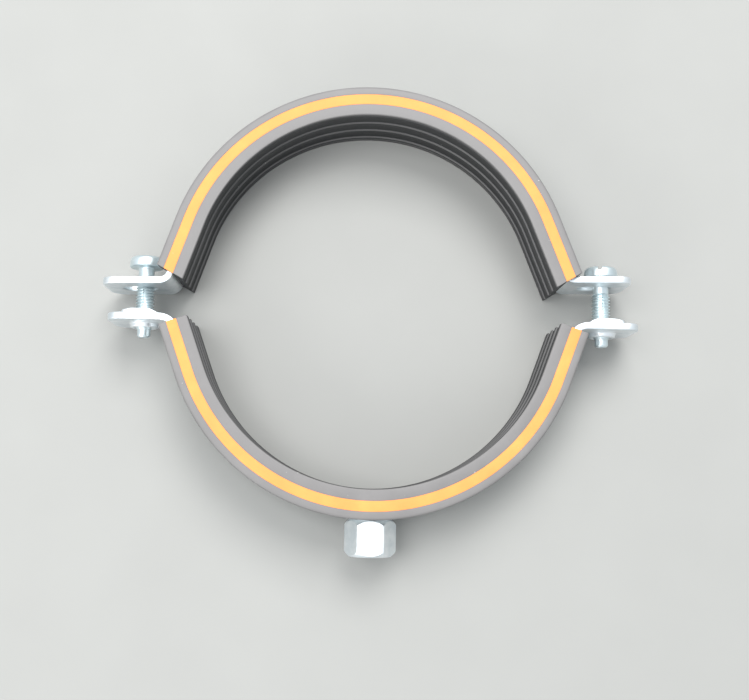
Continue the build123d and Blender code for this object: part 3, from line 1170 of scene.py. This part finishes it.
class CLAMP_OT_screws(Operator):
    """Build the two closing screws with their rolled threads"""

    bl_idname = "clamp.screws"
    bl_label = "Closing screws"

    def execute(self, context):
        zinc = finish_named("blue_passivated_zinc", blue_passivated_zinc)
        x = (SCREW_LOW.x + SCREW_HIGH.x) / 2
        for name, at, turned in (
            ("left_screw", -x, np.radians(78)),
            ("right_screw", x, np.radians(-16)),
        ):
            piece = build_screw(name + "_steel", at, turned)
            finish_piece(piece, name, name, zinc)
        return {"FINISHED"}


class CLAMP_OT_thread_plates(Operator):
    """Build the two thread plates on the lower ears"""

    bl_idname = "clamp.thread_plates"
    bl_label = "Thread plates"

    def execute(self, context):
        zinc = finish_named("bright_zinc_plate", bright_zinc_plate)
        for name, side in (("left_thread_plate", -1), ("right_thread_plate", 1)):
            piece = build_thread_plate(name + "_steel", side)
            finish_piece(piece, name, "lower_half", zinc)
        return {"FINISHED"}


class CLAMP_OT_nut(Operator):
    """Build the threaded hanger nut"""

    bl_idname = "clamp.nut"
    bl_label = "Hanger nut"

    def execute(self, context):
        zinc = finish_named("bright_zinc_plate", bright_zinc_plate)
        piece = build_nut("hanger_nut_steel")
        finish_piece(piece, "hanger_nut", "lower_half", zinc)
        return {"FINISHED"}


class CLAMP_OT_stage(Operator):
    """Set the floor, the soft lights and the camera"""

    bl_idname = "clamp.stage"
    bl_label = "Stage"

    def execute(self, context):
        scene = context.scene
        floor_z = cad_box[0][2]
        corners = np.array([(-1, -1), (1, -1), (1, 1), (-1, 1)]) * FLOOR_REACH
        points = np.concatenate([corners, np.full((4, 1), floor_z)], axis=1)
        floor = add_piece("studio_floor", points, [(0, 1, 2, 3)])
        floor.data.materials.append(finish_named("pale_studio_sheet", painted_floor))
        world = scene.world or bpy.data.worlds.new("studio")
        scene.world = world
        world.use_nodes = True
        sky = world.node_tree.nodes.get("Background")
        sky.inputs["Color"].default_value = (*linear("#E4E9EE"), 1)
        sky.inputs["Strength"].default_value = SKY_STRENGTH
        for softbox in SOFTBOXES:
            soft_light(*softbox)
        data = bpy.data.cameras.new("camera")
        data.sensor_width = 36
        data.lens = CAMERA_LENS
        data.clip_start = 0.01
        camera = bpy.data.objects.new("camera", data)
        scene.collection.objects.link(camera)
        look(camera, CAMERA_AT, CAMERA_TARGET, CAMERA_ROLL)
        scene.camera = camera
        # The plain view transform keeps the stripes as strong an orange as the rubber is
        scene.view_settings.view_transform = "Standard"
        return {"FINISHED"}


STEPS = (
    CLAMP_OT_bands,
    CLAMP_OT_liners,
    CLAMP_OT_stripes,
    CLAMP_OT_screws,
    CLAMP_OT_thread_plates,
    CLAMP_OT_nut,
    CLAMP_OT_stage,
)
SETTINGS = {
    "clamp_band": ClampBandSettings,
    "clamp_liner": ClampLinerSettings,
    "clamp_screw": ClampScrewSettings,
    "clamp_nut": ClampNutSettings,
    "clamp_finish": ClampFinishSettings,
}


class CLAMP_PT_sidebar(Panel):
    """Lists the clamp's pieces and their sizes"""

    bl_label = "Pipe Clamp"
    bl_idname = "CLAMP_PT_sidebar"
    bl_space_type = "VIEW_3D"
    bl_region_type = "UI"
    bl_category = "Pipe Clamp"

    def draw(self, context):
        for key in SETTINGS:
            box = self.layout.box()
            group = getattr(context.scene, key)
            for name in group.bl_rna.properties.keys():
                if name not in ("rna_type", "name"):
                    box.prop(group, name)
        for step in STEPS:
            self.layout.operator(step.bl_idname)


CLASSES = (*SETTINGS.values(), *STEPS, CLAMP_PT_sidebar)


def register():
    for cls in CLASSES:
        bpy.utils.register_class(cls)
    for key, group in SETTINGS.items():
        setattr(bpy.types.Scene, key, PointerProperty(type=group))


def unregister():
    for key in SETTINGS:
        delattr(bpy.types.Scene, key)
    for cls in reversed(CLASSES):
        bpy.utils.unregister_class(cls)


def main():
    register()
    for step in STEPS:
        group, name = step.bl_idname.split(".")
        getattr(getattr(bpy.ops, group), name)()


if __name__ == "__main__":
    main()
